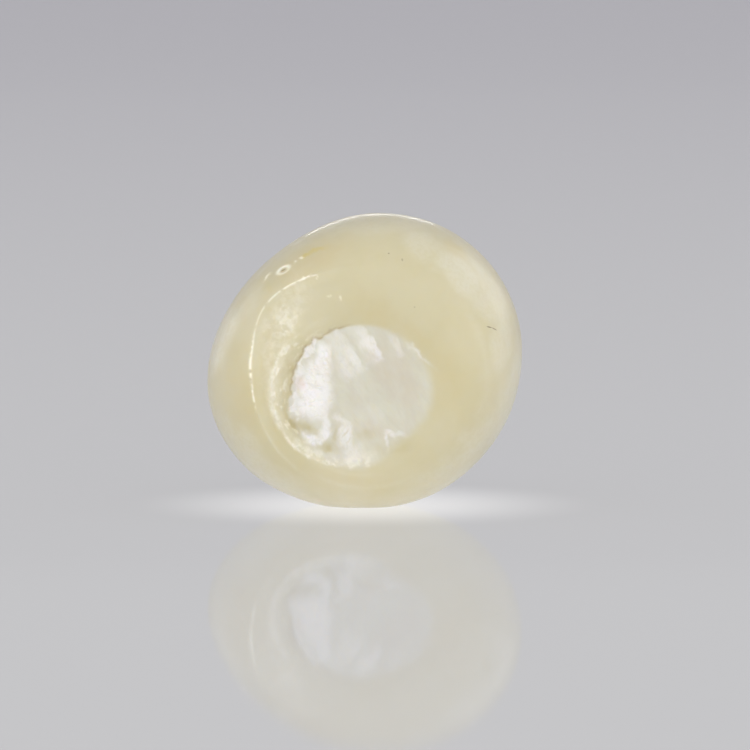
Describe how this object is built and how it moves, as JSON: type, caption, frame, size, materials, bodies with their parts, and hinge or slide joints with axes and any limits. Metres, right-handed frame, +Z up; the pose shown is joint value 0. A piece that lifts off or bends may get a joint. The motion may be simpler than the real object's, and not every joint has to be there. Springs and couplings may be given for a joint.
{
  "type": "freshwater pearl",
  "caption": "Rounded natural freshwater pearl with a lobed outline and a dished, ledged nacre face, standing on a small flat under it.",
  "frame": {"origin": "under the middle of the pearl's box, on the surface that it rests on", "axes": "+Z up from the resting flat, the nacre face looks along -Y and leans back 5 degrees, +X to the right of the face"},
  "size_m": [0.007, 0.0058, 0.0066],
  "materials": {
    "nacre": "cream nacre with a soft satin lustre, and a white pearly plate on the face"
  },
  "bodies": {
    "root": {"pearl": "nacre"}
  },
  "joints": []
}
